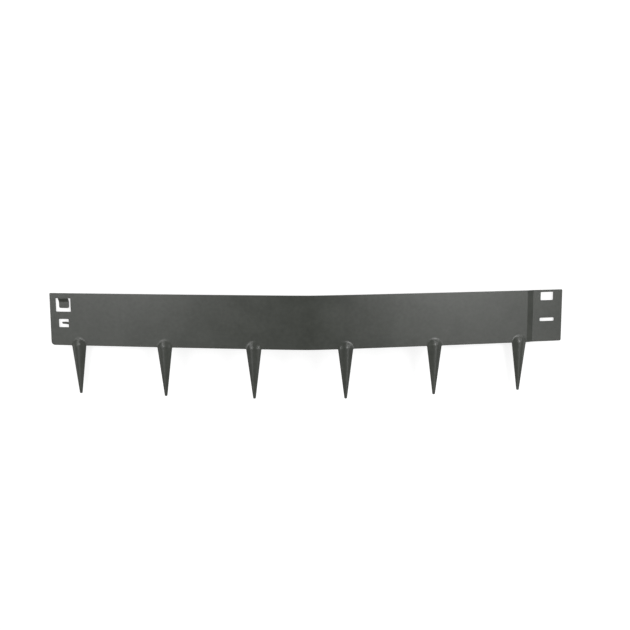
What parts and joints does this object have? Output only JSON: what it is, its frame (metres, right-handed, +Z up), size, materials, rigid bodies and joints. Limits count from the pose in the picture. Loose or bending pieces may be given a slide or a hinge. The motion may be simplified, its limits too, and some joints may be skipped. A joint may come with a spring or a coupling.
{
  "type": "lawn edging strip",
  "caption": "Bent strip of coated sheet steel with fluted ground spikes along its lower edge, and a hook and window at its ends that join strips in a row.",
  "frame": {"origin": "centre of the footprint, on the floor that the two ends rest on", "axes": "+X along the strip from its hook end to its set back end, +Y towards the plain top edge and away from the spikes, +Z up and out of the face over the bend"},
  "size_m": [0.9844, 0.1926, 0.0871],
  "materials": {
    "slate_powder_coat": "satin slate grey powder coat over sheet steel"
  },
  "bodies": {
    "root": {"edging_strip": "slate_powder_coat"}
  },
  "joints": []
}
